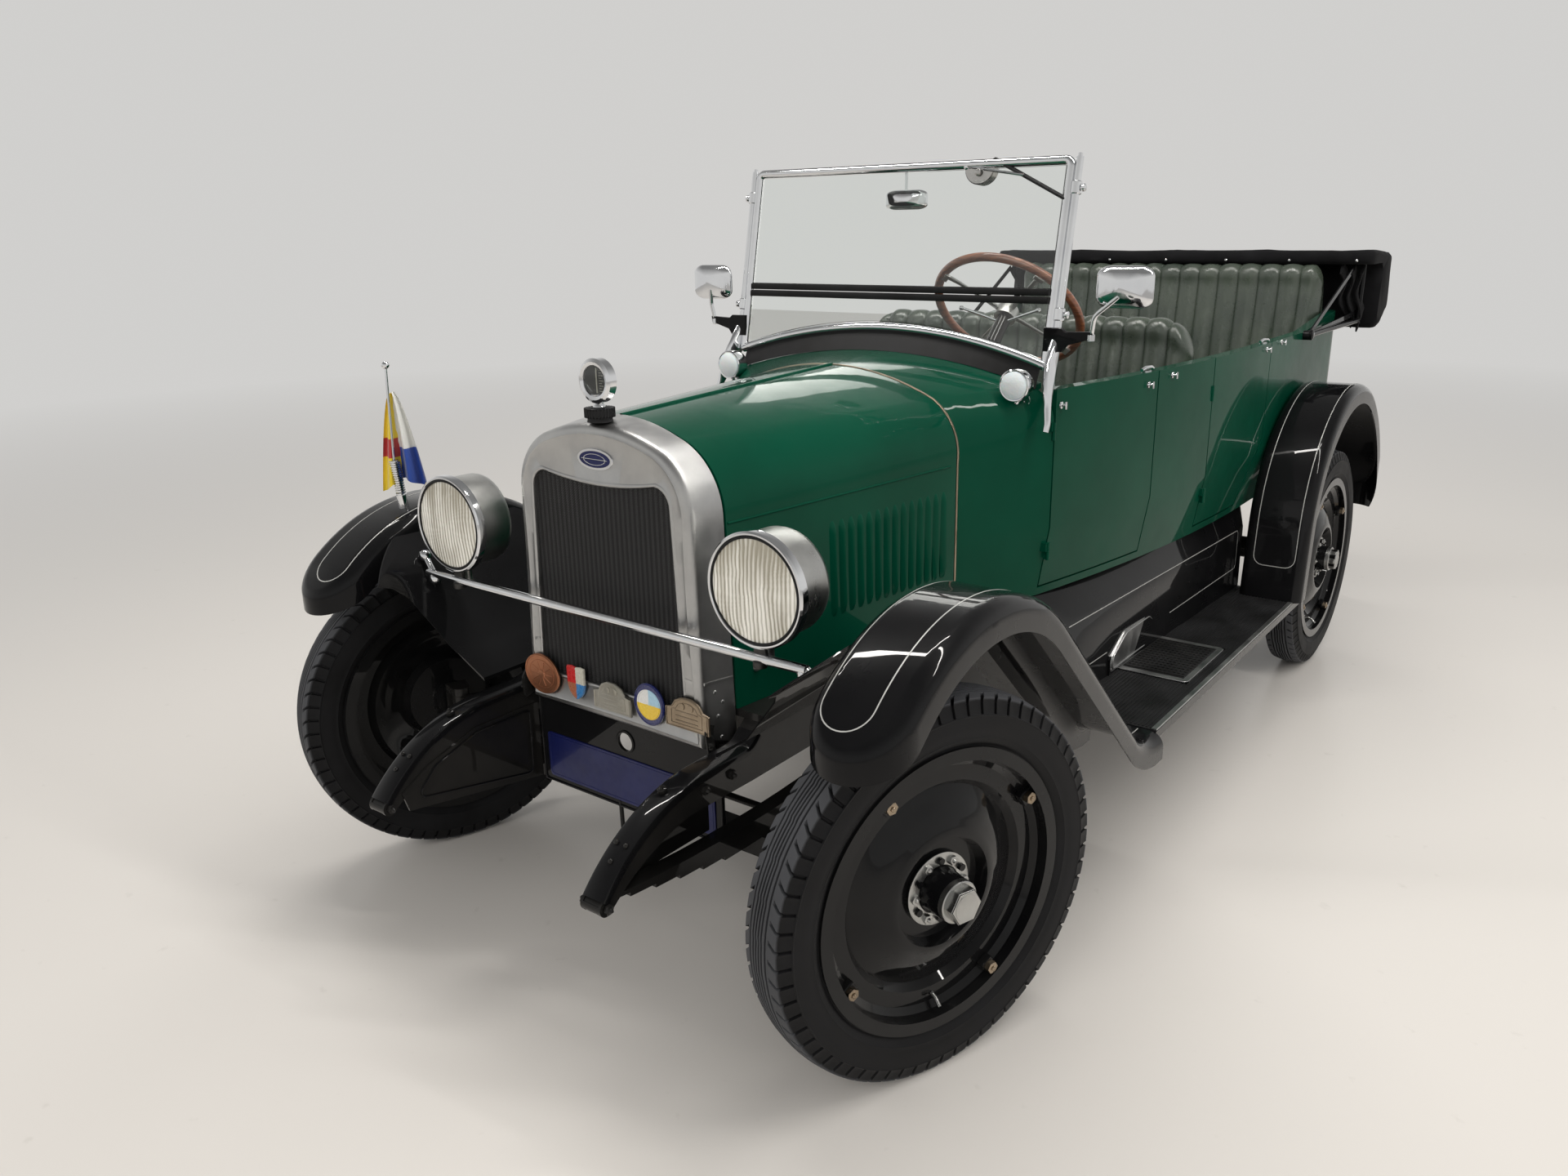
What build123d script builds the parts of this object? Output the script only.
from build123d import *
import os
from math import atan2, cos, hypot, radians, sin, tan

# A 1920s open touring car, millimetres.
# +X is the car's left, +Y its rear, +Z up; the origin is on the ground under the middle.

# Running gear
wheelbase = 2616.0
track = 1473.0
tyre_radius = 381.5
tyre_half_width = 56.0
rim_radius = 283.0
rim_half_width = 49.0
kingpin_inset = 75.0
steer_angle = 18.5
front_overhang = 484.0
rear_overhang = 732.0

# Body heights
frame_top = 600.0
body_bottom = 640.0
turn_under_top = 820.0
belt_height = 1160.0
rear_rail_rise = 40.0
wall = 35.0
turn_under = 28.0
floor_thickness = 18.0
shell_bottom = 545.0
hood_bottom = 616.0
sill_height = 20.0
door_gap = 5.0
seat_gap = 0.3

# Places along the car
axle_mid_y = (front_overhang - rear_overhang) / 2
front_axle_y = axle_mid_y - wheelbase / 2
rear_axle_y = axle_mid_y + wheelbase / 2
shell_front_y = front_axle_y - 100
shell_depth = 78.0
shell_rear_y = shell_front_y + shell_depth
seam_y = front_axle_y + 714
door_front_y = front_axle_y + 928
cowl_rear_y = door_front_y + 40
body_rear_y = front_axle_y + 3158
board_front_y = front_axle_y + 923
board_rear_y = front_axle_y + 2213

# Fenders and running boards
sheet = 4.0
fender_inner_x = 641.0
fender_outer_x = 832.0
fender_roll = 36.0
rear_fender_roll = 30.0
flange_depth = 66.0
board_inner_x = 560.0
board_outer_x = 812.0
board_top = 352.0
board_thickness = 22.0

# Frame
rail_outer_x = 342.0
rail_width = 50.0
rail_height = 110.0

nodes = []


def keep(builder, name):
    builder.part.label = name
    nodes.append(builder.part)


def inset_path(points, radii, distance):
    # The same path moved to its right-hand side, with its bends kept concentric.
    lines = []
    for (a, b), (c, d) in zip(points, points[1:]):
        length = hypot(c - a, d - b)
        normal = ((d - b) / length, -(c - a) / length)
        lines.append((a + normal[0] * distance, b + normal[1] * distance, c - a, d - b))
    moved = [lines[0][:2]]
    bends = []
    for first, second, radius in zip(lines, lines[1:], radii):
        cross = first[2] * second[3] - first[3] * second[2]
        gap = (second[0] - first[0], second[1] - first[1])
        along = (gap[0] * second[3] - gap[1] * second[2]) / cross
        moved.append((first[0] + first[2] * along, first[1] + first[3] * along))
        bends.append(radius - distance if cross < 0 else radius + distance)
    last = lines[-1]
    moved.append((last[0] + last[2], last[1] + last[3]))
    return moved, bends


def face_under(points, radii, bottom, x):
    with BuildSketch(Plane.YZ.offset(x)) as below:
        with BuildLine():
            FilletPolyline(*points, radius=radii)
            Polyline(points[-1], (points[-1][0], bottom), (points[0][0], bottom), points[0])
        make_face()
    return below.sketch


def box_between(x0, x1, y0, y1, z0, z1, mode=Mode.ADD):
    with Locations(((x0 + x1) / 2, (y0 + y1) / 2, (z0 + z1) / 2)):
        Box(abs(x1 - x0), abs(y1 - y0), abs(z1 - z0), mode=mode)


def rod_between(start, end, radius, mode=Mode.ADD):
    axis = Vector(*end) - Vector(*start)
    with Locations(Plane(origin=start, z_dir=axis)):
        Cylinder(radius, axis.length, align=(Align.CENTER, Align.CENTER, Align.MIN), mode=mode)


# Wheels and tyres

rim_flange = 6.0
rim_bed = 266.0
felloe_radius = 258.0
lug_circle = 247.0
lug_radius = 9.0
lug_count = 4
lug_first_angle = 31.0
flange_radius = 72.0
flange_bolts = 6
hub_back = 20.0
drum_radius = 150.0
drum_depth = 80.0
hub_reach = {"front": 103.0, "rear": 88.0}
spare_bore = 50.0


def wheel_plane(centre, outboard):
    out = Vector(*outboard)
    return Plane(origin=centre, x_dir=out, z_dir=out.cross(Vector(0, 0, 1)))


def wheel_disc(name, centre, outboard, end):
    plane = wheel_plane(centre, outboard)
    spin = Axis(centre, outboard)
    # Points are (outboard, radius), from the outer rim flange inward and back.
    face = [
        (rim_half_width, rim_radius), (rim_half_width, felloe_radius), (30, felloe_radius),
        (30, 252), (20, 240), (20, 210), (6, 198), (10, 188), (30, 150), (42, 116), (42, 108),
        (18, 100),
    ]
    if end == "spare":
        hub = [(18, spare_bore), (11, spare_bore)]
    else:
        reach = hub_reach[end]
        hub = [(18, flange_radius), (26, flange_radius), (26, 46), (reach - 27, 41), (reach - 27, 36),
               (reach - 19, 36), (reach - 19, 0), (-hub_back, 0), (-hub_back, 40), (11, 46)]
    back = [
        (11, 106), (35, 118), (23, 148), (3, 184),
        (-2, 198), (13, 214), (13, 250), (-34, 250), (-34, felloe_radius),
        (-rim_half_width, felloe_radius), (-rim_half_width, rim_radius),
        (rim_flange - rim_half_width, rim_radius), (rim_flange - rim_half_width, rim_bed),
        (rim_half_width - rim_flange, rim_bed), (rim_half_width - rim_flange, rim_radius),
    ]
    drum = [
        (-drum_depth, drum_radius), (-14, drum_radius), (-14, 38), (-hub_back, 38),
        (-hub_back, drum_radius - 8), (-drum_depth, drum_radius - 8),
    ]
    with BuildPart() as wheel:
        with BuildSketch(plane):
            with BuildLine():
                Polyline(*face, *hub, *back, close=True)
            make_face()
            if end == "rear":
                with BuildLine():
                    Polyline(*drum, close=True)
                make_face()
        revolve(axis=spin)
        out = Vector(*outboard)
        with BuildSketch(Plane(origin=Vector(*centre) + out * 16, x_dir=(0, 0, 1), z_dir=out)):
            with PolarLocations(lug_circle, lug_count, start_angle=lug_first_angle):
                Circle(lug_radius)
        extrude(amount=18)
        if end != "spare":
            with BuildSketch(Plane(origin=Vector(*centre) + out * (reach - 19), z_dir=out)):
                RegularPolygon(radius=35, side_count=6)
            extrude(amount=19)
            with BuildSketch(Plane(origin=Vector(*centre) + out * 26, x_dir=(0, 0, 1), z_dir=out)):
                with PolarLocations(59, flange_bolts):
                    Circle(7)
            extrude(amount=9)
    keep(wheel, name)


def tyre(name, centre, outboard):
    bead = rim_half_width - rim_flange - seat_gap
    inner = rim_bed + seat_gap
    with BuildPart() as ring:
        with BuildSketch(wheel_plane(centre, outboard)):
            with BuildLine():
                for side in (1, -1):
                    Line((side * bead, inner), (side * bead, 288))
                    ThreePointArc((side * bead, 288), (side * tyre_half_width, 324), (side * 51, 356))
                    Line((side * 51, 356), (side * 43, 374))
                Line((-bead, inner), (bead, inner))
                ThreePointArc((-43, 374), (0, tyre_radius), (43, 374))
            make_face()
        revolve(axis=Axis(centre, outboard))
    keep(ring, name)


steer = radians(steer_angle)
steer_out = (cos(steer), -sin(steer), 0)
kingpin_x = track / 2 - kingpin_inset
corners = [
    # name, side, axle y, end
    ("front_left", 1, front_axle_y, "front"),
    ("front_right", -1, front_axle_y, "front"),
    ("rear_left", 1, rear_axle_y, "rear"),
    ("rear_right", -1, rear_axle_y, "rear"),
]
for corner, side, axle_y, end in corners:
    if end == "front":
        out = tuple(side * c for c in steer_out)
        centre = (side * kingpin_x + out[0] * kingpin_inset, axle_y + out[1] * kingpin_inset, tyre_radius)
    else:
        out = (side, 0, 0)
        centre = (side * track / 2, axle_y, tyre_radius)
    wheel_disc("wheel_" + corner, centre, out, end)
    tyre("tyre_" + corner, centre, out)

# Spare wheel on the back of the body

spare_gap = 40.0
spare_centre = (0, body_rear_y + spare_gap + tyre_half_width, 700)
wheel_disc("spare_wheel", spare_centre, (0, 1, 0), "spare")
tyre("spare_tyre", spare_centre, (0, 1, 0))

# Steering knuckles, tie rod, front axle

knuckle_half_height = 58.0
boss_half_height = 37.5
boss_radius = 22.0
pin_radius = 8.0
spindle_radius = 17.0
arm_length = 130.0
arm_top = -44.0

for side_name, side in (("left", 1), ("right", -1)):
    pivot = (side * kingpin_x, front_axle_y, tyre_radius)
    out = Vector(*(side * c for c in steer_out))
    rear = Vector(sin(steer), cos(steer), 0)
    flat = Plane(origin=pivot, x_dir=out, z_dir=(0, 0, 1))
    with BuildPart() as knuckle:
        with BuildSketch(flat.offset(-knuckle_half_height)):
            with Locations((34, 0)):
                Rectangle(12, 50)
        extrude(amount=2 * knuckle_half_height)
        for level in (-knuckle_half_height, boss_half_height + 0.5):
            with BuildSketch(flat.offset(level)):
                Circle(boss_radius)
                with Locations((17, 0)):
                    Rectangle(34, 2 * boss_radius)
            extrude(amount=knuckle_half_height - boss_half_height - 0.5)
        with BuildSketch(flat.offset(-knuckle_half_height)):
            Circle(pin_radius)
        extrude(amount=2 * knuckle_half_height)
        with BuildSketch(flat.offset(-knuckle_half_height)):
            with Locations((0, side * arm_length / 2)):
                Rectangle(22, arm_length)
            with Locations((0, side * arm_length)):
                Circle(16)
        extrude(amount=knuckle_half_height + arm_top)
        with BuildSketch(Plane(origin=Vector(*pivot) + out * 40, z_dir=out)):
            Circle(spindle_radius)
        extrude(amount=kingpin_inset - hub_back - 0.5 - 40)
    keep(knuckle, "knuckle_" + side_name)

rod_z = tyre_radius - knuckle_half_height - 9
arm_end = (arm_length * sin(steer), front_axle_y + arm_length * cos(steer))
with BuildPart() as tie_rod:
    rod_between((arm_end[0] - kingpin_x, arm_end[1], rod_z), (arm_end[0] + kingpin_x, arm_end[1], rod_z), 8.5)
    for side in (1, -1):
        with BuildSketch(Plane.XY.offset(rod_z - 9)):
            with Locations((arm_end[0] + side * kingpin_x, arm_end[1])):
                Circle(15)
        extrude(amount=18 - seat_gap)
keep(tie_rod, "tie_rod")

beam_drop = 62.0
beam_height = 50.0
beam_width = 44.0
beam_flat_x = 520.0
beam_top = tyre_radius - beam_drop + beam_height / 2
with BuildPart() as front_axle:
    with BuildSketch(Plane.XZ.offset(-front_axle_y - beam_width / 2)):
        with BuildLine():
            top = [(-kingpin_x, tyre_radius + 24), (-beam_flat_x, beam_top), (beam_flat_x, beam_top),
                   (kingpin_x, tyre_radius + 24)]
            low = [(x, z - beam_height) for x, z in reversed(top)]
            Polyline(*top, *low, close=True)
        make_face()
    extrude(amount=beam_width)
    for side in (1, -1):
        with BuildSketch(Plane.XY.offset(tyre_radius - knuckle_half_height - 1)):
            with Locations((side * kingpin_x, front_axle_y)):
                Circle(boss_radius + 14)
        extrude(amount=2 * knuckle_half_height + 2, mode=Mode.SUBTRACT)
        with BuildSketch(Plane.XY.offset(tyre_radius - boss_half_height)):
            with Locations((side * kingpin_x, front_axle_y)):
                Circle(boss_radius)
                with Locations((-side * 22, 0)):
                    Rectangle(44, 30)
            with Locations((side * kingpin_x, front_axle_y)):
                Circle(pin_radius + seat_gap, mode=Mode.SUBTRACT)
        extrude(amount=2 * boss_half_height)
keep(front_axle, "front_axle")

# Frame: two rails with horns, joined by cross members

horn_tip_y = front_axle_y - front_overhang
horn_tip_radius = 16.0
horn_eye = (horn_tip_y + horn_tip_radius, 411.0)
rail_inner_x = rail_outer_x - rail_width
rail_rear_y = front_axle_y + 3130
rail_bottom = frame_top - rail_height
cross_members = [
    # distance behind the front axle, width along the car, bottom, top
    (-20, 60, 500, shell_bottom - seat_gap),
    (1400, 70, 558, 596),
    (2230, 60, 500, 590),
    (3100, 60, 500, 590),
]
sheet_thickness = 4.0
splash_sheets = [
    # side, lower edge as (distance behind the front axle, z)
    (1, [(-436, 432), (-420, 402), (-136, 400)]),
    (-1, [(-438, 432), (-425, 388), (-62, 324)]),
]
splash_top = [(-240, 510), (-368, 470)]
leaf_count = 6
leaf_thickness = 8.0
leaf_width = 38.0
spring_x = rail_outer_x - rail_width / 2
cheek = 5.0
eye_radius = 14.0
bolt_radius = 7.0
rear_tube_radius = 38.0
front_eye_reach = front_axle_y - horn_eye[0]
rear_eye_reach = 500.0
front_eye_z = horn_eye[1]
rear_eye_z = 466.0
hangers = [
    # eye y, eye z
    (front_axle_y + front_eye_reach, front_eye_z),
    (rear_axle_y - rear_eye_reach, rear_eye_z),
    (rear_axle_y + rear_eye_reach, rear_eye_z),
]
with BuildPart() as frame:
    with BuildSketch(Plane.YZ.offset(rail_inner_x)):
        with BuildLine():
            crest = (front_axle_y - 200, frame_top - 40)
            throat = (front_axle_y - 240, rail_bottom + 4)
            lean = horn_tip_radius * sin(radians(60))
            tip_top = (horn_eye[0] - horn_tip_radius / 2, horn_eye[1] + lean)
            tip_low = (horn_eye[0] + horn_tip_radius / 2, horn_eye[1] - lean)
            ThreePointArc(crest, (front_axle_y - 345, frame_top - 76), tip_top)
            ThreePointArc(tip_top, (horn_tip_y, horn_eye[1]), tip_low)
            ThreePointArc(tip_low, (front_axle_y - 368, rail_bottom - 34), throat)
            Polyline(throat, (front_axle_y - 60, rail_bottom), (rail_rear_y, rail_bottom),
                     (rail_rear_y, frame_top), (front_axle_y - 14, frame_top),
                     (front_axle_y - 60, frame_top - 38), crest)
        make_face()
    extrude(amount=rail_width)
    slot_half = leaf_width / 2 + seat_gap
    slot_end_y = horn_eye[0] + 70
    box_between(spring_x - slot_half, spring_x + slot_half, horn_tip_y + 2, slot_end_y, 300,
                horn_eye[1] + eye_radius + 1, mode=Mode.SUBTRACT)
    rod_between((rail_inner_x, *horn_eye), (rail_outer_x, *horn_eye), bolt_radius)
    for eye_y, eye_z in hangers:
        for face in (spring_x - slot_half - cheek, spring_x + slot_half):
            box_between(face, face + cheek, eye_y - 13, eye_y + 13, eye_z - 16, rail_bottom + 2)
        rod_between((rail_inner_x, eye_y, eye_z), (rail_outer_x, eye_y, eye_z), bolt_radius)
    with BuildSketch(Plane.XY.offset(frame_top)):
        with BuildLine():
            Polyline((262, shell_rear_y + 5), (rail_outer_x, shell_rear_y + 5), (rail_outer_x, seam_y - 2),
                     (rail_inner_x, seam_y - 2), close=True)
        make_face()
    extrude(amount=hood_bottom - seat_gap - frame_top)
    mirror(about=Plane.YZ)
    for place, width, low, high in cross_members:
        y = front_axle_y + place
        box_between(-rail_inner_x - 1, rail_inner_x + 1, y - width / 2, y + width / 2, low, high)
    # Splash sheets on the inner faces of the horns
    for side, low_edge in splash_sheets:
        with BuildSketch(Plane.YZ.offset(side * (rail_inner_x - sheet_thickness / 2 + 0.5))):
            with BuildLine():
                outline = low_edge + [(low_edge[-1][0], splash_top[0][1])] + splash_top
                Polyline(*[(front_axle_y + y, z) for y, z in outline], close=True)
            make_face()
        extrude(amount=sheet_thickness / 2 + 0.5, both=True)
    iron_y = body_rear_y + seat_gap
    for side in (1, -1):
        box_between(side * 60, side * 84, iron_y, iron_y + 10, 520, 900)
        box_between(side * 60, side * 84, rail_rear_y - 2, iron_y + 10, 510, 550)
    boss_y = spare_centre[1] + 11 - seat_gap
    box_between(-84, 84, iron_y, iron_y + 10, spare_centre[2] - 70, spare_centre[2] + 70)
    hub_line = (0, spare_centre[2])
    rod_between((0, iron_y + 8, hub_line[1]), (0, boss_y, hub_line[1]), 70)
    rod_between((0, boss_y, hub_line[1]), (0, spare_centre[1] + 30, hub_line[1]), spare_bore - seat_gap)
    rod_between((0, spare_centre[1] + 18 + seat_gap, hub_line[1]), (0, spare_centre[1] + 34, hub_line[1]), 62)
keep(frame, "frame")

# Leaf springs


def leaf_pack(y, z, half_length, eye_z):
    # z is the underside of the stack at the axle; leaves shorten downward.
    stack = leaf_count * leaf_thickness
    rise = eye_z + eye_radius - z - stack
    x0 = spring_x - leaf_width / 2
    for leaf in range(leaf_count):
        share = 1 - 0.14 * (leaf_count - 1 - leaf)
        low = z + leaf * leaf_thickness
        reach = half_length * share
        lift = rise * share ** 2
        with BuildSketch(Plane.YZ.offset(x0)) as blade:
            with BuildLine():
                ThreePointArc((y - reach, low + lift), (y, low), (y + reach, low + lift))
                ThreePointArc((y - reach, low + lift + leaf_thickness), (y, low + leaf_thickness),
                              (y + reach, low + lift + leaf_thickness))
                for end in (-1, 1):
                    Line((y + end * reach, low + lift), (y + end * reach, low + lift + leaf_thickness))
            make_face()
        extrude(blade.sketch, amount=leaf_width)
    for end in (-1, 1):
        eye = (y + end * half_length, eye_z)
        rod_between((x0, *eye), (x0 + leaf_width, *eye), eye_radius)
        rod_between((x0 - 1, *eye), (x0 + leaf_width + 1, *eye), bolt_radius + seat_gap, mode=Mode.SUBTRACT)


with BuildPart() as springs:
    leaf_pack(front_axle_y, beam_top + seat_gap, front_eye_reach, front_eye_z)
    leaf_pack(rear_axle_y, tyre_radius + rear_tube_radius + seat_gap, rear_eye_reach, rear_eye_z)
    mirror(about=Plane.YZ)
keep(springs, "springs")

# Rear axle with its casing, torque tube and backing plates

torque_front_y = front_axle_y + 1360
with BuildPart() as rear_axle:
    half = track / 2 - hub_back - 0.5
    rod_between((-half, rear_axle_y, tyre_radius), (half, rear_axle_y, tyre_radius), 30)
    inner_half = track / 2 - drum_depth - 6
    rod_between((-inner_half, rear_axle_y, tyre_radius), (inner_half, rear_axle_y, tyre_radius),
                rear_tube_radius)
    rod_between((-62, rear_axle_y, tyre_radius), (62, rear_axle_y, tyre_radius), 142)
    rod_between((0, rear_axle_y, tyre_radius), (0, torque_front_y, 520), 36)
    for side in (1, -1):
        rod_between((side * inner_half, rear_axle_y, tyre_radius),
                    (side * (inner_half - 6), rear_axle_y, tyre_radius), drum_radius)
keep(rear_axle, "rear_axle")

# Engine and gearbox as one plain mass, on feet that reach the rails

with BuildPart() as engine:
    box_between(-150, 150, front_axle_y + 90, front_axle_y + 600, 470, 960)
    box_between(-110, 110, front_axle_y + 600, front_axle_y + 1340, 440, frame_top - 5)
    foot = rail_inner_x - seat_gap
    for y in (front_axle_y + 200, front_axle_y + 560):
        box_between(-foot, foot, y - 25, y + 25, 530, 570)
keep(engine, "engine")

# Radiator

shell_wall = 7.0


def facing(y):
    # A plane across the car at y, with X to its right and Z up.
    return Plane(origin=(0, y, 0), x_dir=(1, 0, 0), z_dir=(0, -1, 0))


def arch(y, bottom, half_low, half_high, shoulder, corner, top, inset=0.0):
    # Half widths at the foot and at the shoulder, the corner point, the crown height.
    low = half_low - inset
    high = half_high - inset
    turn = (corner[0] - inset * 0.7, corner[1] - inset * 0.7)
    crown = top - inset
    bulge = ((high + turn[0]) / 2 + 0.17 * (high - turn[0]), (shoulder + turn[1]) / 2 + 0.17 * (turn[1] - shoulder))
    with BuildSketch(facing(y)) as section:
        with BuildLine():
            for side in (1, -1):
                Line((side * low, bottom), (side * high, shoulder))
                ThreePointArc((side * high, shoulder), (side * bulge[0], bulge[1]), (side * turn[0], turn[1]))
            ThreePointArc((turn[0], turn[1]), (0, crown), (-turn[0], turn[1]))
            Line((-low, bottom), (low, bottom))
        make_face()
    return section.sketch


shell_front_arch = dict(half_low=254, half_high=240, shoulder=1030, corner=(140, 1156), top=1181)
shell_rear_arch = dict(half_low=278, half_high=262, shoulder=1010, corner=(154, 1160), top=1192)
shell_edge_radius = 10.0
opening_half_low = 208.0
opening_half_high = 193.0
opening_low = 622.0
opening_top = 1075.0
opening_dip = 1059.0
opening_bend = 38.0
with BuildPart() as shell:
    loft([arch(shell_front_y, shell_bottom, **shell_front_arch),
          arch(shell_rear_y, shell_bottom, **shell_rear_arch)], ruled=True)
    fillet([e for e in shell.edges() if abs(e.center().Y - shell_front_y) < 0.1 and e.center().Z > shell_bottom + 1],
           shell_edge_radius)
    loft([arch(shell_front_y + shell_wall, shell_bottom + shell_wall, inset=shell_wall, **shell_front_arch),
          arch(shell_rear_y + 1, shell_bottom + shell_wall, inset=shell_wall, **shell_rear_arch)],
         ruled=True, mode=Mode.SUBTRACT)
    with BuildSketch(facing(shell_front_y + shell_wall + 1)):
        with BuildLine():
            bend_low = opening_top - opening_bend
            bend_in = opening_half_high - opening_bend
            Polyline((-opening_half_high, bend_low), (-opening_half_low, opening_low),
                     (opening_half_low, opening_low), (opening_half_high, bend_low))
            for side in (1, -1):
                ThreePointArc((side * opening_half_high, bend_low),
                              (side * (opening_half_high - 0.3 * opening_bend), opening_top - 0.3 * opening_bend),
                              (side * bend_in, opening_top))
            ThreePointArc((bend_in, opening_top), (0, opening_dip), (-bend_in, opening_top))
        make_face()
    extrude(amount=shell_wall + 2, mode=Mode.SUBTRACT)
keep(shell, "radiator_shell")

core_front_y = shell_front_y + shell_wall + seat_gap
with BuildPart() as core:
    box_between(-222, 222, core_front_y, core_front_y + 60, shell_bottom + shell_wall + seat_gap, 1030)
    box_between(-205, 205, core_front_y, core_front_y + 60, 1030, 1098)
keep(core, "radiator_core")

cap_y = shell_front_y + 20
cap_radius = 19.0
crown_rise = (shell_rear_arch["top"] - shell_front_arch["top"]) / shell_depth
cap_z = shell_front_arch["top"] + crown_rise * (cap_y + cap_radius - shell_front_y) + seat_gap
dial_z = 1266.0
with BuildPart() as cap:
    rod_between((0, cap_y, cap_z), (0, cap_y, cap_z + 11), cap_radius)
    rod_between((0, cap_y, cap_z + 10), (0, cap_y, cap_z + 26), cap_radius + 8)
    rod_between((0, cap_y, cap_z + 25), (0, cap_y, dial_z - 36), 8)
    rod_between((0, cap_y - 12, dial_z), (0, cap_y + 12, dial_z), 43)
keep(cap, "radiator_cap")

# Front valance section, given as points (x, z) from the fender down to the frame

valance_line = [(642, 870), (560, 800), (430, 650), (rail_outer_x + seat_gap, 590)]
valance_sheet = 3.0

# Headlamps on their cross bar

lamp_x = 434.0
lamp_z = 928.0
lamp_front_y = front_axle_y - 150
lamp_depth = 104.0
lamp_radius = 101.0
lamp_ring_radius = 110.0
bar_y = front_axle_y - 134
bar_z = 788.0
bar_radius = 10.0
bar_half = 545.0
with BuildPart() as headlamps:
    with BuildSketch(Plane(origin=(lamp_x, 0, lamp_z), x_dir=(0, 1, 0), z_dir=(-1, 0, 0))):
        with BuildLine():
            rear_y = lamp_front_y + lamp_depth
            Polyline((lamp_front_y, 0), (lamp_front_y, lamp_ring_radius),
                     (lamp_front_y + 20, lamp_ring_radius), (lamp_front_y + 20, lamp_radius),
                     (rear_y - 12, lamp_radius))
            ThreePointArc((rear_y - 12, lamp_radius), (rear_y - 3, lamp_radius - 6), (rear_y, lamp_radius - 16))
            Polyline((rear_y, lamp_radius - 16), (rear_y, 0), (lamp_front_y, 0))
        make_face()
    revolve(axis=Axis((lamp_x, 0, lamp_z), (0, 1, 0)))
    with BuildSketch(Plane(origin=(lamp_x, lamp_front_y, lamp_z), z_dir=(0, -1, 0))):
        Circle(lamp_ring_radius - 9)
    extrude(amount=-16, mode=Mode.SUBTRACT)
    rod_between((lamp_x, bar_y + 24, bar_z - 2), (lamp_x, bar_y + 24, lamp_z - lamp_radius + 4), 12)
    mirror(about=Plane.YZ)
keep(headlamps, "headlamps")

with BuildPart() as lenses:
    rod_between((lamp_x, lamp_front_y + 3, lamp_z), (lamp_x, lamp_front_y + 15.7, lamp_z),
                lamp_ring_radius - 9 - seat_gap)
    mirror(about=Plane.YZ)
keep(lenses, "headlamp_lenses")

clamp_ball = 15.0
clamp_low = (522.0, bar_y, 786.0)
slope = atan2(valance_line[0][1] - valance_line[1][1], valance_line[0][0] - valance_line[1][0])
clamp_spot = (582.0, valance_line[1][1] + 22 * tan(slope))
clamp_high = (clamp_spot[0] - (clamp_ball + seat_gap) * sin(slope), bar_y + 14,
              clamp_spot[1] + (clamp_ball + seat_gap) * cos(slope))
with BuildPart() as lamp_bar:
    rod_between((-bar_half, bar_y, bar_z + 8), (bar_half, bar_y, bar_z + 8), bar_radius)
    rod_between(clamp_low, clamp_high, 10)
    for spot in (clamp_low, clamp_high):
        with Locations(spot):
            Sphere(clamp_ball)
    mirror(about=Plane.YZ)
    for side in (1, -1):
        box_between(side * lamp_x - 14, side * lamp_x + 14, bar_y - 4, bar_y + 38, bar_z - 12, bar_z - 2 - seat_gap)
        box_between(side * lamp_x - 8, side * lamp_x + 8, bar_y - 6, bar_y + 6, bar_z - 12, bar_z + 6)
keep(lamp_bar, "lamp_bar")

# Number plate panel below the radiator

panel_half = 274.0
panel_y = front_axle_y - 68
panel_low = 323.0
panel_high = 540.0
crank_hole = (0, 488)
crank_hole_radius = 21.0
with BuildPart() as plate_panel:
    with BuildSketch(facing(panel_y + 4)):
        with Locations((0, (panel_low + panel_high) / 2)):
            Rectangle(2 * panel_half, panel_high - panel_low)
        with Locations(crank_hole):
            Circle(crank_hole_radius, mode=Mode.SUBTRACT)
    extrude(amount=4)
    for side in (1, -1):
        box_between(side * 150, side * 170, panel_y + 4, front_axle_y - 50 - seat_gap, 515, 535)
keep(plate_panel, "plate_panel")

# Hood: two leaves hinged on a rod along the crown

hood_wall = 6.0
hood_front_y = shell_rear_y + 5
hood_rear_y = seam_y - 5
hinge_front_z = 1189.0
hinge_rear_z = 1214.0
hinge_radius = 5.0
hood_front_arch = dict(half_low=278, half_high=263, shoulder=1010, corner=(156, 1158), top=hinge_front_z)
hood_rear_arch = dict(half_low=361, half_high=361, shoulder=1010, corner=(291, 1149), top=hinge_rear_z)


def hood_form(inset, spare):
    with BuildPart() as form:
        loft([arch(hood_front_y - spare, hood_bottom - spare, inset=inset, **hood_front_arch),
              arch(hood_rear_y + spare, hood_bottom - spare, inset=inset, **hood_rear_arch)], ruled=True)
    return form.part


hood_outer = hood_form(0, 0)
hood_inner = hood_form(hood_wall, 1)
hinge_slot = hinge_radius + seat_gap
for side_name, side in (("left", 1), ("right", -1)):
    with BuildPart() as hood:
        add(hood_outer)
        add(hood_inner, mode=Mode.SUBTRACT)
        box_between(side * hinge_slot, side * 700, hood_front_y - 5, hood_rear_y + 5, 500, 1300,
                    mode=Mode.INTERSECT)
    keep(hood, "hood_" + side_name)

# Body tub, cowl and doors

corner_radius = 170.0
belt_half = {"front": 503.0, "mid": 585.0, "rear": 636.0}
mid_y = front_axle_y + 1389
wide_y = front_axle_y + 2228


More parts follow.
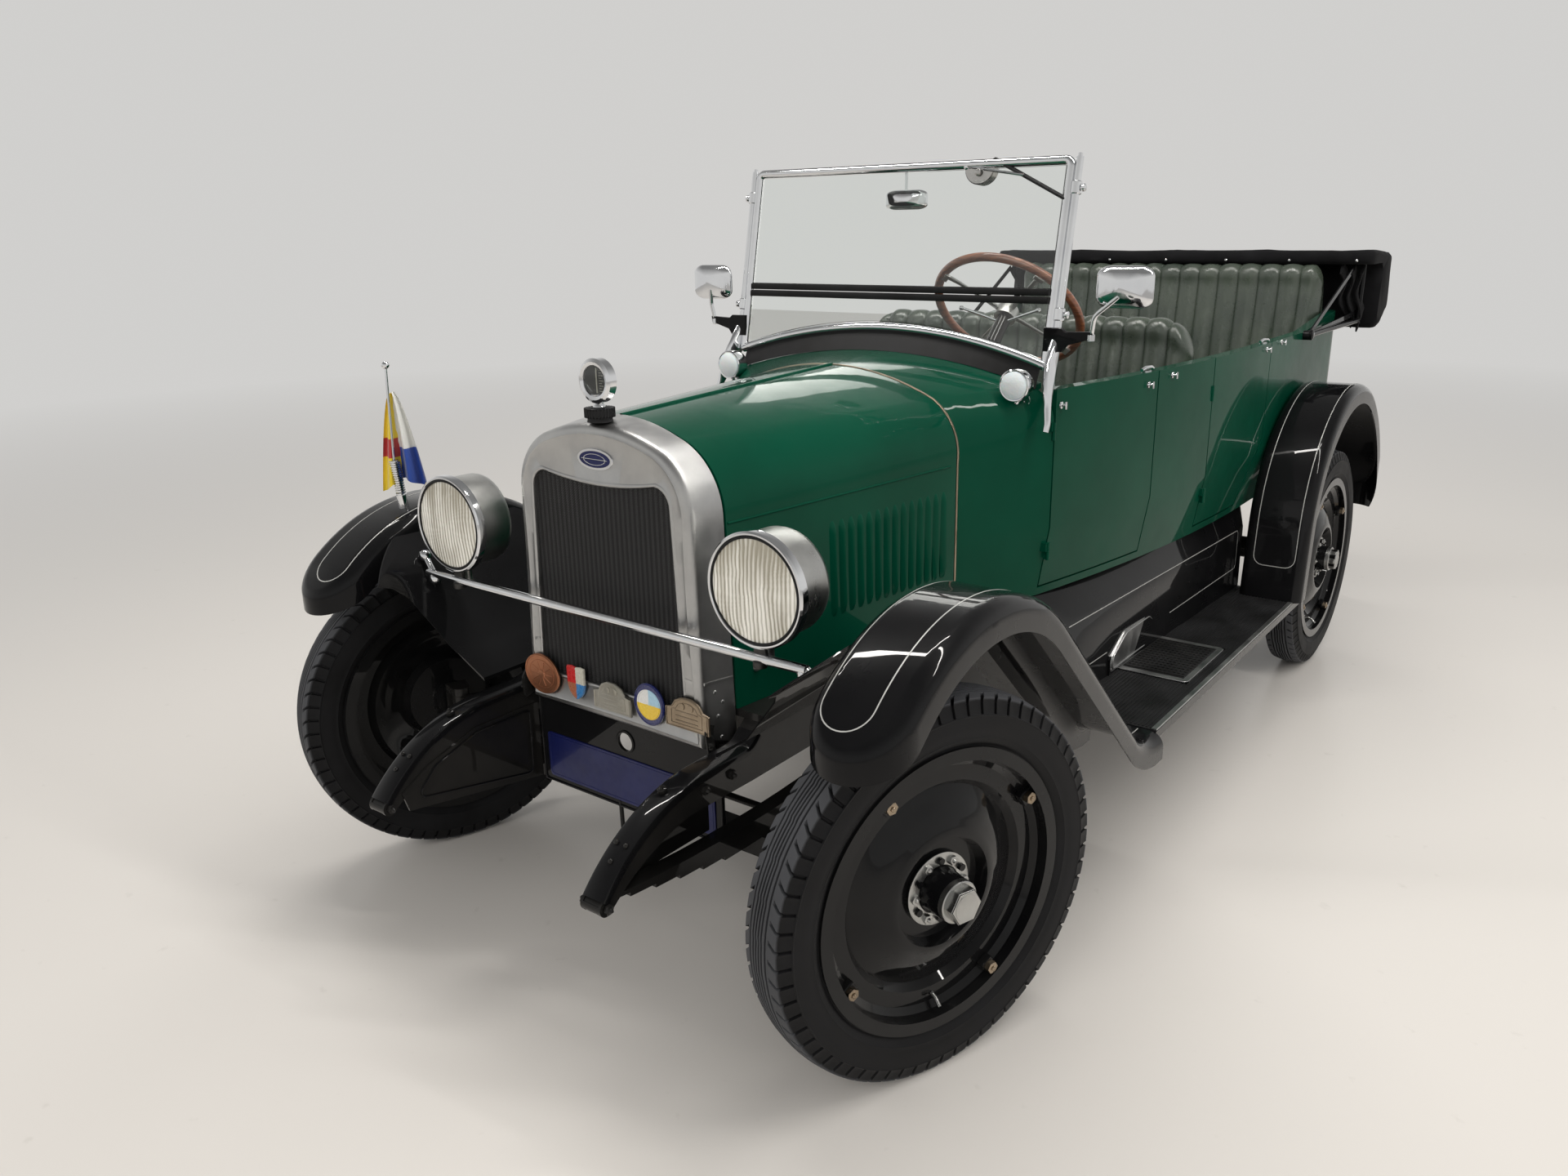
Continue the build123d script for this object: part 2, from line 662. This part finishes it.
def tub_outline(inset, front_y, z):
    front = belt_half["front"] - inset
    side = belt_half["rear"] - inset
    rear_y = body_rear_y - inset
    bend = corner_radius - inset
    diagonal = bend * sin(radians(45))
    with BuildSketch(Plane.XY.offset(z)) as plan:
        with BuildLine():
            for s in (1, -1):
                ThreePointArc((s * front, front_y), (s * (belt_half["mid"] - inset), mid_y), (s * side, wide_y))
                Line((s * side, wide_y), (s * side, rear_y - bend))
                ThreePointArc((s * side, rear_y - bend), (s * (side - bend + diagonal), rear_y - bend + diagonal),
                              (s * (side - bend), rear_y))
            Line((side - bend, rear_y), (bend - side, rear_y))
            Line((-front, front_y), (front, front_y))
        make_face()
    return plan.sketch


def tub_form(inset, low, high, front_y):
    with BuildPart() as form:
        loft([tub_outline(inset + turn_under, front_y, low), tub_outline(inset, front_y, turn_under_top)],
             ruled=True)
        extrude(tub_outline(inset, front_y, turn_under_top), amount=high - turn_under_top)
    return form.part


tub_high = belt_height + rear_rail_rise
tub_outer = tub_form(0, body_bottom, tub_high, door_front_y)
tub_inner = tub_form(wall, body_bottom - 1, tub_high + 1, door_front_y - 1)
rail_start_y = front_axle_y + 2600
with BuildPart() as tub_wall:
    add(tub_outer)
    add(tub_inner, mode=Mode.SUBTRACT)
    with BuildSketch(Plane.YZ.offset(-800)):
        with BuildLine():
            Polyline((door_front_y - 10, belt_height), (rail_start_y, belt_height), (body_rear_y - 200, tub_high),
                     (body_rear_y + 10, tub_high), (body_rear_y + 10, tub_high + 100),
                     (door_front_y - 10, tub_high + 100), close=True)
        make_face()
    extrude(amount=1600, mode=Mode.SUBTRACT)

cowl_sections = [
    # y, half width at the foot, section above the turn-under
    (seam_y, 361, dict(half_low=361, half_high=361, shoulder=1010, corner=(291, 1149), top=hinge_rear_z)),
    (door_front_y, belt_half["front"] - turn_under,
     dict(half_low=belt_half["front"], half_high=belt_half["front"], shoulder=1080, corner=(424, 1171), top=1229)),
    (cowl_rear_y, 511 - turn_under, dict(half_low=511, half_high=511, shoulder=1084, corner=(430, 1172), top=1231)),
]


def cowl_foot(y, foot, knee, low):
    with BuildSketch(facing(y)) as section:
        with BuildLine():
            Polyline((-foot, low), (-knee, turn_under_top), (knee, turn_under_top), (foot, low), close=True)
        make_face()
    return section.sketch


def cowl_form(inset, start, past, low):
    # start moves the front section back, past moves the rear one on.
    with BuildPart() as form:
        for k in (0, 1):
            y0, foot0, upper0 = cowl_sections[k]
            y1, foot1, upper1 = cowl_sections[k + 1]
            y0 += start if k == 0 else 0
            y1 += past if k == 1 else 0
            loft([arch(y0, turn_under_top, inset=inset, **upper0), arch(y1, turn_under_top, inset=inset, **upper1)],
                 ruled=True)
            loft([cowl_foot(y0, foot0 - inset, upper0["half_low"] - inset, low),
                  cowl_foot(y1, foot1 - inset, upper1["half_low"] - inset, low)], ruled=True)
    return form.part


cowl_wall = 14.0
firewall = 12.0
arch_radius = 617.0
doors = [
    # name, front edge y, rear edge y, both behind the front axle
    ("front", 928, 1389),
    ("rear", 1728, 2228),
]


def door_region(y0, y1, low, gap):
    with BuildSketch(Plane.YZ.offset(scuttle_half)) as region:
        with BuildLine():
            Polyline((y0 + gap, low + gap), (y1 - gap, low + gap), (y1 - gap, 1400), (y0 + gap, 1400), close=True)
        make_face()
        with Locations((rear_axle_y, tyre_radius)):
            Circle(arch_radius + gap, mode=Mode.SUBTRACT)
    return region.sketch


door_low = body_bottom + sill_height
scuttle_half = 446.0
hinge_pin = 5.0
clear_pin = 0.6
barrel_half = 22.0
barrel_levels = (760.0, 1060.0)

# Steering column line, from the wheel's centre down to the box on the rail
steering_centre = (211.0, front_axle_y + 1242, 1311.0)
column_slope = radians(43)
column_radius = 19.0


def column_at(y):
    return (steering_centre[0], y, steering_centre[2] + (y - steering_centre[1]) * tan(column_slope))


def skin_x(y):
    # Outer half width of the body at belt level, on the arc through its three stations.
    x1, x2, x3 = belt_half["front"], belt_half["mid"], belt_half["rear"]
    y1, y2, y3 = door_front_y, mid_y, wide_y
    a = x1 * (y2 - y3) - y1 * (x2 - x3) + x2 * y3 - x3 * y2
    b = (x1 ** 2 + y1 ** 2) * (y3 - y2) + (x2 ** 2 + y2 ** 2) * (y1 - y3) + (x3 ** 2 + y3 ** 2) * (y2 - y1)
    c = (x1 ** 2 + y1 ** 2) * (x2 - x3) + (x2 ** 2 + y2 ** 2) * (x3 - x1) + (x3 ** 2 + y3 ** 2) * (x1 - x2)
    cx, cy = -b / (2 * a), -c / (2 * a)
    radius = hypot(x1 - cx, y1 - cy)
    return cx + (radius ** 2 - (y - cy) ** 2) ** 0.5


# Doors hang on pins at their front edges; the body carries the upper barrels.


def door_pieces(y0, y1, low, gap):
    # Both sides of the car, outboard of the scuttle.
    region = door_region(y0, y1, low, gap)
    with BuildPart() as pieces:
        extrude(region, amount=800 - scuttle_half)
        mirror(about=Plane.YZ)
    return pieces.part


def barrel(side, y, low, sleeve, depth, mode=Mode.ADD):
    x = side * skin_x(y)
    rod_between((x, y, low), (x, y, low + barrel_half), hinge_pin + (clear_pin if sleeve else 0), mode=mode)
    if depth:
        box_between(x - side * 24, x, y, y + depth, low, low + barrel_half)


with BuildPart() as body:
    add(cowl_form(0, 0, 0, body_bottom))
    add(cowl_form(cowl_wall, firewall, 1, body_bottom - 1), mode=Mode.SUBTRACT)
    add(tub_wall.part)
    for place, front, rear in doors:
        add(door_pieces(front_axle_y + front, front_axle_y + rear, door_low, 0), mode=Mode.SUBTRACT)
    rod_between((0, seam_y + 2, hinge_rear_z), (0, shell_rear_y + 0.5, hinge_front_z), hinge_radius)
    for place, front, rear in doors:
        for level in barrel_levels:
            for side in (1, -1):
                barrel(side, front_axle_y + front, level - barrel_half - seat_gap, True, 0, mode=Mode.SUBTRACT)
                barrel(side, front_axle_y + front, level, False, -12)
    column_hole = column_at(seam_y - 20)
    rod_between(column_hole, column_at(seam_y + 40), column_radius + seat_gap, mode=Mode.SUBTRACT)
keep(body, "body")

for place, front, rear in doors:
    for side_name, side in (("left", 1), ("right", -1)):
        y0 = front_axle_y + front
        with BuildPart() as door:
            add(tub_wall.part)
            add(door_pieces(y0, front_axle_y + rear, door_low, door_gap), mode=Mode.INTERSECT)
            box_between(0, side * 900, y0, front_axle_y + rear, 500, 1400, mode=Mode.INTERSECT)
            for level in barrel_levels:
                barrel(side, y0, level, True, 0, mode=Mode.SUBTRACT)
                barrel(side, y0, level - barrel_half - seat_gap, False, 12)
        keep(door, "door_%s_%s" % (place, side_name))

cross_sills = [
    # distance behind the front axle, half length
    (850, 400), (1500, 500), (1990, 540), (2950, 540),
]
with BuildPart() as floor:
    with BuildSketch(Plane.XY.offset(body_bottom)):
        with BuildLine():
            half_plan = [(335, seam_y + 13), (420, door_front_y), (500, mid_y - 60), (555, wide_y - 300),
                         (565, body_rear_y - 220), (460, body_rear_y - wall - turn_under - 2)]
            Polyline(*half_plan, *[(-x, y) for x, y in reversed(half_plan)], close=True)
        make_face()
    extrude(amount=floor_thickness)
    for place, half in cross_sills:
        y = front_axle_y + place
        box_between(-half, half, y - 30, y + 30, frame_top + seat_gap, body_bottom)
keep(floor, "floor")

# Fenders

front_crown = [(-347, 747), (-139, 928), (206, 928), (821, board_top), (923, board_top)]
front_bends = [440, 440, 200]
rear_crown = [(2120, board_top + seat_gap), (2164, 749), (2443, 990), (2796, 990), (3056, 806), (3233, 460)]
rear_bends = [430, 520, 490, 600]
front_crown = [(front_axle_y + y, z) for y, z in front_crown]
rear_crown = [(front_axle_y + y, z) for y, z in rear_crown]
rear_fender_inner_x = belt_half["rear"] + seat_gap
nose_y = front_axle_y - 330
tail_y = front_axle_y + 3190
tail_bottom = 460.0


def fender_form(path, bends, roll, inset, inner_x, round_end_y, square_end_y):
    points, radii = inset_path(path, bends, inset)
    inner = inner_x + inset
    outer = fender_outer_x - inset
    bow = (outer - inner) / 2
    toward = 1 if round_end_y > square_end_y else -1
    tip_y = round_end_y - toward * inset
    with BuildPart() as form:
        extrude(face_under(points, radii, 0, inner), amount=outer - inner)
        with BuildSketch(Plane.XY):
            with BuildLine():
                Polyline((inner, tip_y - toward * bow), (inner, square_end_y), (outer, square_end_y),
                         (outer, tip_y - toward * bow))
                ThreePointArc((outer, tip_y - toward * bow), ((inner + outer) / 2, tip_y),
                              (inner, tip_y - toward * bow))
            make_face()
        extrude(amount=1300, mode=Mode.INTERSECT)
        rim = [e for e in form.edges()
               if e.center().Z > 200 and e.bounding_box().size.Y > 8
               and not (e.bounding_box().size.X < 1 and e.bounding_box().size.Y < 1)]
        fillet(rim, roll - inset)
    return form.part


def fender_shell(path, bends, roll, inner_x, round_end_y, square_end_y, trim):
    with BuildPart() as skin:
        add(fender_form(path, bends, roll, 0, inner_x, round_end_y, square_end_y))
        add(fender_form(path, bends, roll, sheet, inner_x, round_end_y, square_end_y), mode=Mode.SUBTRACT)
        extrude(face_under(*trim, -10, inner_x - 20), amount=260, mode=Mode.SUBTRACT)
    return skin.part


lower, lower_bends = inset_path(front_crown, front_bends, flange_depth)
lower[0] = (front_axle_y - 242, 744)
lower = [(front_axle_y - 400, 686)] + lower
nose_trim = [(-320, 807), (-235, 783), (-209, 756), (-194, 707), (-172, 630), (-162, 580)]
strip_depth = 45.0
with BuildPart() as front_fenders:
    # Splash sheet from the fender down to the frame, cut back behind the nose
    with BuildSketch(Plane.XZ.offset(-(front_axle_y + 668))):
        with BuildLine():
            under = [(x, z - valance_sheet / 0.75) for x, z in reversed(valance_line[:-1])]
            Polyline(*valance_line, (valance_line[-1][0], valance_line[-1][1] - 8), *under, close=True)
        make_face()
    extrude(amount=668 + 332)
    points, radii = inset_path(front_crown, front_bends, 20)
    extrude(face_under(points, radii, 0, 300), amount=400, mode=Mode.INTERSECT)
    with BuildSketch(Plane.YZ.offset(300)):
        with BuildLine():
            edge = [(front_axle_y + y, z) for y, z in nose_trim]
            Polyline(*edge, (edge[-1][0], 400), (edge[0][0] - 200, 400), (edge[0][0] - 200, edge[0][1]), close=True)
        make_face()
    extrude(amount=342, mode=Mode.SUBTRACT)
    # Strip that closes the inner side of the fender below the splash sheet
    with BuildPart(mode=Mode.PRIVATE) as strip:
        for depth, mode in ((strip_depth, Mode.ADD), (strip_depth + valance_sheet, Mode.SUBTRACT)):
            points, radii = inset_path(front_crown, front_bends, depth)
            extrude(face_under(points, radii, 0, 552), amount=fender_inner_x + 2 - 552, mode=mode)
        with BuildSketch(Plane.XZ.offset(-(front_axle_y + 930))):
            with BuildLine():
                Polyline((540, 0), (540, 777), (560, 799), (642, 869), (660, 869), (660, 0), close=True)
            make_face()
        extrude(amount=930 + 100, mode=Mode.INTERSECT)
        box_between(500, 700, front_axle_y - 60, board_front_y - 0.5, 0, 1200, mode=Mode.INTERSECT)
    add(strip.part)
    add(fender_shell(front_crown, front_bends, fender_roll, fender_inner_x, nose_y, board_front_y,
                     (lower, [200] + lower_bends)))
    mirror(about=Plane.YZ)
keep(front_fenders, "front_fenders")

trim_points, trim_bends = inset_path(rear_crown, rear_bends, flange_depth)
with BuildPart() as rear_fenders:
    add(fender_shell(rear_crown, rear_bends, rear_fender_roll, rear_fender_inner_x, tail_y,
                     front_axle_y + 2100, (trim_points, trim_bends)))
    box_between(600, 900, front_axle_y + 2000, front_axle_y + 3400, -10, board_top + seat_gap, mode=Mode.SUBTRACT)
    box_between(600, 900, rear_axle_y, front_axle_y + 3400, -10, tail_bottom, mode=Mode.SUBTRACT)
    mirror(about=Plane.YZ)
keep(rear_fenders, "rear_fenders")

# Running boards with step plates, splash aprons and brackets

apron_sheet = 3.0
apron_front = [(563, board_top - 1), (555, 560), (470, body_bottom - seat_gap)]
apron_rear = [(610, board_top - 1), (608, 560), (590, body_bottom - seat_gap)]
bracket_stations = (1200, 1950)
step_front_y = front_axle_y + 1258
step_rear_y = front_axle_y + 1576


def apron_section(y, points):
    with BuildSketch(facing(y)) as section:
        with BuildLine():
            inner = [(x - apron_sheet, z) for x, z in reversed(points)]
            Polyline(*points, *inner, close=True)
        make_face()
    return section.sketch


with BuildPart() as running_boards:
    box_between(board_inner_x, board_outer_x, board_front_y, board_rear_y, board_top - board_thickness, board_top)
    loft([apron_section(board_front_y, apron_front), apron_section(board_rear_y, apron_rear)], ruled=True)
    box_between(566, 770, step_front_y, step_rear_y, board_top - 1, board_top + 6)
    with BuildSketch(Plane.YZ.offset(572)):
        with BuildLine():
            Polyline((step_front_y - 60, board_top - 1), (step_front_y - 60, 400), (step_front_y + 40, 457),
                     (step_rear_y - 100, 457), (step_rear_y - 20, 400), (step_rear_y - 20, board_top - 1), close=True)
        make_face()
    extrude(amount=6)
    for place in bracket_stations:
        y = front_axle_y + place
        box_between(rail_outer_x + seat_gap, 640, y - 20, y + 20, board_top - board_thickness - 8,
                    board_top - board_thickness)
        box_between(rail_outer_x + seat_gap, rail_outer_x + 12, y - 20, y + 20,
                    board_top - board_thickness - 8, frame_top - 20)
    mirror(about=Plane.YZ)
keep(running_boards, "running_boards")

# Windshield on its own raked plane

glass_lean = radians(11.4)
wind_origin = Vector(0, front_axle_y + 945, 1215)
wind_up = Vector(0, sin(glass_lean), cos(glass_lean))
wind_plane = Plane(origin=wind_origin, x_dir=(1, 0, 0), z_dir=Vector(1, 0, 0).cross(wind_up))
wind_half = 478.5
wind_tube = 25.0
wind_top = 487.0
rail_foot = -17.0
rail_crown = 60.0
divider_low = 142.0
divider_high = 178.0
glass_thickness = 6.0
arched_gap = 1.5


def on_wind(x, up):
    spot = wind_origin + wind_up * up
    return (x, spot.Y, spot.Z)


# The cowl's outer form with a seat gap around it, to cut what stands on it
cowl_grown = cowl_form(-seat_gap, 0, 1, body_bottom)

with BuildPart() as panes:
    with BuildSketch(wind_plane.offset(-glass_thickness / 2)):
        with BuildLine():
            half = wind_half - wind_tube - seat_gap
            low = rail_foot + 27
            crown = rail_crown + 25
            ThreePointArc((-half, low + arched_gap), (0, crown + arched_gap), (half, low + arched_gap))
            Polyline((half, low + arched_gap), (half, divider_low - seat_gap), (-half, divider_low - seat_gap),
                     (-half, low + arched_gap))
        make_face()
        with BuildLine():
            high = wind_top - wind_tube - seat_gap
            Polyline((half, divider_high + seat_gap), (half, high), (-half, high), (-half, divider_high + seat_gap),
                     close=True)
        make_face()
    extrude(amount=glass_thickness)
keep(panes, "windshield_glass")

post_x = 484.0
post_radius = 9.0
mirrors = [
    # centre x, z
    (648.0, 1398.0),
    (-580.0, 1392.0),
]
with BuildPart() as windshield:
    with BuildSketch(wind_plane.offset(-wind_tube / 2)):
        with BuildLine():
            ThreePointArc((-wind_half, rail_foot), (0, rail_crown), (wind_half, rail_foot))
            Polyline((wind_half, rail_foot), (wind_half, wind_top), (-wind_half, wind_top), (-wind_half, rail_foot))
        make_face()
        with BuildLine():
            half = wind_half - wind_tube
            ThreePointArc((-half, rail_foot + 27), (0, rail_crown + 25), (half, rail_foot + 27))
            Polyline((half, rail_foot + 27), (half, divider_low), (-half, divider_low), (-half, rail_foot + 27))
        make_face(mode=Mode.SUBTRACT)
        with BuildLine():
            Polyline((half, divider_high), (half, wind_top - wind_tube), (-half, wind_top - wind_tube),
                     (-half, divider_high), close=True)
        make_face(mode=Mode.SUBTRACT)
    extrude(amount=wind_tube)
    with BuildSketch(wind_plane.offset(-4)):
        with BuildLine():
            ThreePointArc((-430, rail_foot + 8), (0, rail_crown + 4), (430, rail_foot + 8))
            Polyline((430, rail_foot + 8), (430, -140), (-430, -140), (-430, rail_foot + 8))
        make_face()
    extrude(amount=8)
    for side in (1, -1):
        knees = [on_wind(side * post_x, wind_top - 6), on_wind(side * post_x, 36),
                 (side * 484, front_axle_y + 925, 1190), (side * 472, front_axle_y + 880, 1090),
                 (side * 420, front_axle_y + 870, 1072)]
        for start, end in zip(knees, knees[1:]):
            rod_between(start, end, post_radius)
        for knee in knees[1:-1]:
            with Locations(knee):
                Sphere(post_radius)
    for x, z in mirrors:
        side = 1 if x > 0 else -1
        arm_foot = on_wind(side * (post_x + 8), 60)
        rod_between(arm_foot, (x, front_axle_y + 956, z), 6)
        box_between(x - 65, x + 65, front_axle_y + 939, front_axle_y + 957, z - 45, z + 45)
        foot = on_wind(side * post_x, 60)
        box_between(foot[0] - 16, foot[0] + 16, foot[1] - 14, foot[1] + 14, foot[2] - 26, foot[2] + 26)
    motor = on_wind(225, wind_top - 60)
    rod_between((motor[0], motor[1] - 44, motor[2]), (motor[0], motor[1] - 12, motor[2]), 24)
    header = on_wind(motor[0], wind_top - 12)
    rod_between((motor[0], motor[1] - 24, motor[2]), (header[0], header[1] - 16, header[2]), 8)
    rod_between((12, front_axle_y + 1045, 1672), (12, front_axle_y + 1045, 1601), 4)
    box_between(-48, 72, front_axle_y + 1036, front_axle_y + 1048, 1576, 1626)
    add(cowl_grown, mode=Mode.SUBTRACT)
keep(windshield, "windshield_frame")

# Small lamps: two on the cowl, one at the rear

side_lamp = (437.0, front_axle_y + 837, 1175.0)
side_lamp_radius = 38.0
tail_lamp = (430.0, turn_under_top + 50)
with BuildPart() as small_lamps:
    for side in (1, -1):
        x = side * side_lamp[0]
        rod_between((x, side_lamp[1], side_lamp[2]), (x, side_lamp[1] + 58, side_lamp[2]), side_lamp_radius)
        rod_between((x, side_lamp[1] + 30, side_lamp[2]), (side * 340, side_lamp[1] + 30, 1090), 10)
    add(cowl_grown, mode=Mode.SUBTRACT)
    rod_between((tail_lamp[0], body_rear_y + seat_gap, tail_lamp[1]), (tail_lamp[0], body_rear_y + 60, tail_lamp[1]), 34)
keep(small_lamps, "small_lamps")

# Instrument panel inside the cowl

with BuildPart() as dashboard:
    add(cowl_form(cowl_wall + seat_gap, firewall, 1, body_bottom))
    box_between(-600, 600, front_axle_y + 896, front_axle_y + 910, 1040, 1300, mode=Mode.INTERSECT)
keep(dashboard, "dashboard")

# Steering column with its box, and the wheel

wheel_radius = 200.0
wheel_rim = 12.0
shaft_radius = 8.0
column_up = Vector(0, cos(column_slope), sin(column_slope))
column_top = Vector(*steering_centre) - column_up * 26
box_y = front_axle_y + 458
with BuildPart() as steering_column:
    rod_between(column_at(box_y), tuple(column_top), column_radius)
    box_between(185, rail_inner_x - seat_gap, box_y - 50, box_y + 50, 500, frame_top - 2)
    rod_between(tuple(column_top - column_up * 60), tuple(column_top + column_up * 5), shaft_radius + seat_gap,
                mode=Mode.SUBTRACT)
keep(steering_column, "steering_column")

with BuildPart() as steering_wheel:
    wheel_face = Plane(origin=steering_centre, x_dir=(1, 0, 0), z_dir=column_up)
    with BuildSketch(Plane(origin=steering_centre, x_dir=(1, 0, 0), z_dir=column_up.cross(Vector(1, 0, 0)))):
        with Locations((wheel_radius, 0)):
            Circle(wheel_rim)
    revolve(axis=Axis(steering_centre, column_up))
    rod_between(tuple(Vector(*steering_centre) - column_up * 25.5), tuple(Vector(*steering_centre) + column_up * 14), 30)
    rod_between(tuple(column_top - column_up * 55), tuple(steering_centre), shaft_radius)
    for turn in range(4):
        angle = radians(45 + 90 * turn)
        arm = wheel_face.x_dir * cos(angle) + wheel_face.y_dir * sin(angle)
        rod_between(steering_centre, tuple(Vector(*steering_centre) + arm * wheel_radius), 7)
keep(steering_wheel, "steering_wheel")

# Seats: risers with cushions and backs as closed forms

seats = [
    # name, front y, cushion rear y, back rear y, cushion top, back top, cushion half, back half
    ("front_seat", 1288, 1730, 1810, 950, 1262, 500, 545),
    ("rear_seat", 2488, 2940, 3098, 970, 1365.4, 575, 590),
]
seat_base = body_bottom + floor_thickness + seat_gap
seat_room = tub_form(wall + 2 * seat_gap, body_bottom, 1500, door_front_y)
for name, front, split, back, cushion_top, back_top, cushion_half, back_half in seats:
    with BuildPart() as seat:
        y0 = front_axle_y + front
        y1 = front_axle_y + split
        y2 = front_axle_y + back
        with BuildSketch(Plane.YZ.offset(-cushion_half)):
            with BuildLine():
                Polyline((y0, cushion_top - 130), (y0, cushion_top - 30), (y0 + 60, cushion_top),
                         (y1, cushion_top - 40), (y1, cushion_top - 160), (y1 - 10, seat_base), (y0 + 70, seat_base),
                         (y0 + 70, cushion_top - 130), close=True)
            make_face()
        extrude(amount=2 * cushion_half)
        with BuildSketch(Plane.YZ.offset(-back_half)):
            with BuildLine():
                Polyline((y1 - 60, cushion_top - 60), (y1 + 5, back_top - 40), (y1 + 40, back_top), (y2, back_top),
                         (y2, cushion_top - 80), (y1, cushion_top - 160), (y1 - 40, cushion_top - 150), close=True)
            make_face()
        extrude(amount=2 * back_half)
        add(seat_room, mode=Mode.INTERSECT)
    keep(seat, name)

# Folded top behind the rear seat, on its irons

top_half = 745.0
top_under = back_top + seat_gap
top_section = [(2988, top_under), (2998, 1425), (3340, 1408), (3348, 1185), (3238, 1125), (3178, 1125),
               (3170, 1215), (3170, top_under)]
with BuildPart() as folded_top:
    with BuildSketch(Plane.YZ.offset(-top_half)):
        with BuildLine():
            Polyline(*[(front_axle_y + y, z) for y, z in top_section], close=True)
        make_face()
    extrude(amount=2 * top_half)
keep(folded_top, "folded_top")

iron_radius = 9.0
pivot_y = front_axle_y + 2598
with BuildPart() as top_irons:
    rod_between((belt_half["rear"] + seat_gap, pivot_y, 1150), (664, pivot_y, 1150), 16)
    rod_between((652, pivot_y, 1150), (690, front_axle_y + 3120, 1162), iron_radius)
    rod_between((690, front_axle_y + 3120, 1150), (690, front_axle_y + 3120, top_under - seat_gap), iron_radius)
    mirror(about=Plane.YZ)
keep(top_irons, "top_irons")

# Gear and brake levers and the pedals

floor_top = body_bottom + floor_thickness
with BuildPart() as controls:
    for x, reach, height in ((20, 60, 330), (70, 20, 260)):
        foot = (x, front_axle_y + 1130, floor_top + seat_gap + 4)
        rod_between(foot, (x, foot[1] + reach, floor_top + height), 8)
        with Locations((x, foot[1] + reach, floor_top + height)):
            Sphere(18)
    box_between(0, 90, front_axle_y + 1090, front_axle_y + 1170, floor_top + seat_gap, floor_top + 14)
    for x in (150, 240, 310):
        box_between(x - 28, x + 28, front_axle_y + 840, front_axle_y + 850, floor_top + 90, floor_top + 170)
        box_between(x - 6, x + 6, front_axle_y + 838, front_axle_y + 850, floor_top + seat_gap, floor_top + 100)
keep(controls, "controls")

# Flag staff on the right fender

with BuildPart() as fender_grown:
    add(fender_form(front_crown, front_bends, fender_roll, -seat_gap, fender_inner_x, nose_y, board_front_y))
    mirror(about=Plane.YZ)
with BuildPart() as flag_staff:
    rod_between((-708, front_axle_y - 66, 890), (-706, front_axle_y - 74, 950), 12)
    rod_between((-706, front_axle_y - 74, 945), (-700, front_axle_y - 87, 1035), 9)
    rod_between((-700, front_axle_y - 87, 1030), (-700, front_axle_y - 79, 1256), 3)
    add(fender_grown.part, mode=Mode.SUBTRACT)
keep(flag_staff, "flag_staff")

os.makedirs("parts", exist_ok=True)
for node in nodes:
    export_step(node, "parts/" + node.label + ".step")
    print(node.label, len(node.solids()), round(node.volume / 1e6, 2))
